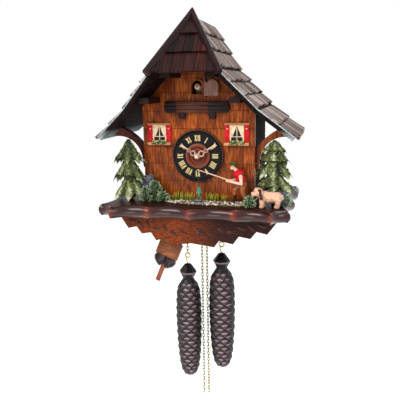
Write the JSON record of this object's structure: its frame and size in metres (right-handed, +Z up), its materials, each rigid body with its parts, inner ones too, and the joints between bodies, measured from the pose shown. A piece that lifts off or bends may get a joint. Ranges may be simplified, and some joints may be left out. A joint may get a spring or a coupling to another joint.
{
  "type": "cuckoo clock",
  "caption": "Wall-hung wooden chalet cuckoo clock with shingled roof, carved figures, pine-cone weights on chains and a pendulum.",
  "frame": {"origin": "centre of the hanging hole, in the plane of the wall", "axes": "+X right as seen from the room, +Y into the wall, +Z up"},
  "size_m": [0.308, 0.216, 0.6324],
  "materials": {
    "house_wood": "satin varnish",
    "base_wood": "gloss varnish",
    "roof_wood": "satin",
    "shingle_wood": "weathered",
    "dark_wood": "satin varnish",
    "window_paint": "satin",
    "red_paint": "satin paint",
    "plank_wood": "satin varnish",
    "cream_plastic": "satin",
    "fir_green": "painted",
    "ground": "rough",
    "figure_paint": "satin paint",
    "dog_paint": "satin paint",
    "fish_paint": "satin paint",
    "bird_paint": "painted",
    "brass": "satin",
    "steel": "brushed",
    "iron": "brown lacquer",
    "inner_wood": "plain"
  },
  "bodies": {
    "case": {"base_plate": "base_wood", "apron_boards": "base_wood", "front_panel": "house_wood", "side_walls": "house_wood", "back_panel": "house_wood", "hanger_plate": "steel", "upper_roof_boards": "roof_wood", "lower_roof_boards": "roof_wood", "roof_shingles": "shingle_wood", "hip_board": "roof_wood", "hip_shingles": "dark_wood", "roof_timbers": "dark_wood", "eave_brackets": "dark_wood", "windows": "window_paint", "shutters": "red_paint", "flower_boxes": "plank_wood", "sign_plank": "plank_wood", "door_arch": "dark_wood", "dial_ring": "dark_wood", "dial_numerals": "cream_plastic", "dial_boss": "dark_wood", "fir_trees": "fir_green", "ground_cover": "ground", "fisherman": "figure_paint", "dog": "dog_paint", "movement_plates": "brass", "movement_pillars": "steel", "bellows_and_shelf": "inner_wood", "gong": "steel", "pendulum_post": "steel"},
    "minute": {"centre_arbor": "steel", "minute_hand": "cream_plastic", "hand_nut": "brass"},
    "hour": {"hour_wheel": "brass", "hour_hand": "cream_plastic"},
    "motion": {"minute_wheel": "brass"},
    "time_great": {"time_great_wheel": "brass"},
    "third": {"third_wheel": "brass"},
    "escape": {"escape_wheel": "brass"},
    "drum_left": {"sprocket_left": "brass"},
    "drum_right": {"sprocket_right": "brass"},
    "strike_great": {"strike_great_wheel": "brass"},
    "pins": {"pin_wheel": "brass"},
    "strike_fly": {"fly": "steel"},
    "pallets": {"anchor": "steel"},
    "pendulum": {"pendulum_rod": "plank_wood", "pendulum_bob": "plank_wood"},
    "left_weight": {"weight_left": "iron", "weight_chain_left": "brass"},
    "right_weight": {"weight_right": "iron", "weight_chain_right": "brass"},
    "left_free": {"free_chain_left": "brass"},
    "right_free": {"free_chain_right": "brass"},
    "door": {"cuckoo_door": "plank_wood"},
    "bird": {"cuckoo_bird": "bird_paint"},
    "angler_arm": {"fishing_rod": "figure_paint"},
    "catch": {"fish": "fish_paint"},
    "left_lid": {"bellows_lid_left": "inner_wood"},
    "right_lid": {"bellows_lid_right": "inner_wood"},
    "hammer": {"gong_hammer": "steel"}
  },
  "joints": [
    {"name": "minute_hand_turn", "type": "hinge", "parent": "case", "child": "minute", "pos_m": [0, -0.098, -0.12], "axis": [0, 1, 0], "continuous": true},
    {"name": "hour_hand_turn", "type": "hinge", "parent": "case", "child": "hour", "pos_m": [0, -0.13, -0.12], "axis": [0, 1, 0], "continuous": true},
    {"name": "motion_wheel_turn", "type": "hinge", "parent": "case", "child": "motion", "pos_m": [-0.00848, -0.121, -0.12848], "axis": [0, 1, 0], "continuous": true},
    {"name": "time_great_turn", "type": "hinge", "parent": "case", "child": "time_great", "pos_m": [0.01625, -0.098, -0.14941], "axis": [0, 1, 0], "continuous": true},
    {"name": "third_turn", "type": "hinge", "parent": "case", "child": "third", "pos_m": [0.01432, -0.098, -0.10568], "axis": [0, 1, 0], "continuous": true},
    {"name": "escape_turn", "type": "hinge", "parent": "case", "child": "escape", "pos_m": [0, -0.098, -0.09477], "axis": [0, 1, 0], "continuous": true},
    {"name": "strike_great_turn", "type": "hinge", "parent": "case", "child": "strike_great", "pos_m": [-0.01625, -0.098, -0.14941], "axis": [0, 1, 0], "continuous": true},
    {"name": "pin_wheel_turn", "type": "hinge", "parent": "case", "child": "pins", "pos_m": [-0.02209, -0.098, -0.11632], "axis": [0, 1, 0], "continuous": true},
    {"name": "fly_turn", "type": "hinge", "parent": "case", "child": "strike_fly", "pos_m": [-0.02602, -0.098, -0.09927], "axis": [0, 1, 0], "continuous": true},
    {"name": "pendulum_swing", "type": "hinge", "parent": "case", "child": "pendulum", "pos_m": [0, -0.048, -0.116], "axis": [0, 1, 0], "range_deg": [-45, 0]},
    {"name": "anchor_rock", "type": "hinge", "parent": "case", "child": "pallets", "pos_m": [0, -0.086, -0.07877], "axis": [0, 1, 0], "range_deg": [-18, 0]},
    {"name": "left_weight_run", "type": "slide", "parent": "case", "child": "left_weight", "axis": [0, 0, 1], "range_m": [-0.27, 0.04], "deforming": ["weight_chain_left"]},
    {"name": "left_free_run", "type": "slide", "parent": "case", "child": "left_free", "axis": [0, 0, 1], "range_m": [-0.04, 0.27], "deforming": ["free_chain_left"]},
    {"name": "left_drum_turn", "type": "hinge", "parent": "case", "child": "drum_left", "pos_m": [-0.01625, -0.1, -0.14941], "axis": [0, 1, 0], "continuous": true},
    {"name": "right_weight_run", "type": "slide", "parent": "case", "child": "right_weight", "axis": [0, 0, 1], "range_m": [-0.27, 0.02], "deforming": ["weight_chain_right"]},
    {"name": "right_free_run", "type": "slide", "parent": "case", "child": "right_free", "axis": [0, 0, 1], "range_m": [-0.02, 0.27], "deforming": ["free_chain_right"]},
    {"name": "right_drum_turn", "type": "hinge", "parent": "case", "child": "drum_right", "pos_m": [0.01625, -0.1, -0.14941], "axis": [0, 1, 0], "continuous": true},
    {"name": "cuckoo_door_swing", "type": "hinge", "parent": "case", "child": "door", "pos_m": [0.0129, -0.1353, -0.02], "axis": [0, 0, 1], "range_deg": [-172, 0]},
    {"name": "cuckoo_slide", "type": "slide", "parent": "case", "child": "bird", "axis": [0, 1, 0], "range_m": [0, 0.0325]},
    {"name": "rod_lift", "type": "hinge", "parent": "case", "child": "angler_arm", "pos_m": [0.069, -0.154, -0.146], "axis": [0, 1, 0], "range_deg": [-2, 14]},
    {"name": "fish_hang", "type": "hinge", "parent": "angler_arm", "child": "catch", "pos_m": [0.006, -0.1542, -0.1375], "axis": [0, 1, 0], "range_deg": [-14, 2]},
    {"name": "left_lid_lift", "type": "hinge", "parent": "case", "child": "left_lid", "pos_m": [-0.069, -0.0814, -0.0561], "axis": [-1, 0, 0], "range_deg": [0, 14]},
    {"name": "right_lid_lift", "type": "hinge", "parent": "case", "child": "right_lid", "pos_m": [0.069, -0.0814, -0.0561], "axis": [-1, 0, 0], "range_deg": [0, 14]},
    {"name": "hammer_stroke", "type": "hinge", "parent": "case", "child": "hammer", "pos_m": [0.045, -0.067, -0.168], "axis": [0, 1, 0], "range_deg": [-8, 10], "stiffness_Nm_per_rad": 0.02}
  ],
  "couplings": [
    {"joint": "hour_hand_turn", "follows": "minute_hand_turn", "ratio": 0.083333},
    {"joint": "motion_wheel_turn", "follows": "minute_hand_turn", "ratio": -0.33333},
    {"joint": "time_great_turn", "follows": "minute_hand_turn", "ratio": -0.16667},
    {"joint": "third_turn", "follows": "minute_hand_turn", "ratio": -8},
    {"joint": "escape_turn", "follows": "minute_hand_turn", "ratio": 64},
    {"joint": "pin_wheel_turn", "follows": "strike_great_turn", "ratio": -6},
    {"joint": "fly_turn", "follows": "strike_great_turn", "ratio": 36},
    {"joint": "anchor_rock", "follows": "pendulum_swing", "ratio": 0.4},
    {"joint": "left_free_run", "follows": "left_weight_run", "ratio": -1},
    {"joint": "left_drum_turn", "follows": "left_weight_run", "rad_per_m": 81.633},
    {"joint": "right_free_run", "follows": "right_weight_run", "ratio": -1},
    {"joint": "right_drum_turn", "follows": "right_weight_run", "rad_per_m": -81.633},
    {"joint": "cuckoo_slide", "follows": "cuckoo_door_swing", "m_per_rad": -0.01066},
    {"joint": "fish_hang", "follows": "rod_lift", "ratio": -1}
  ]
}
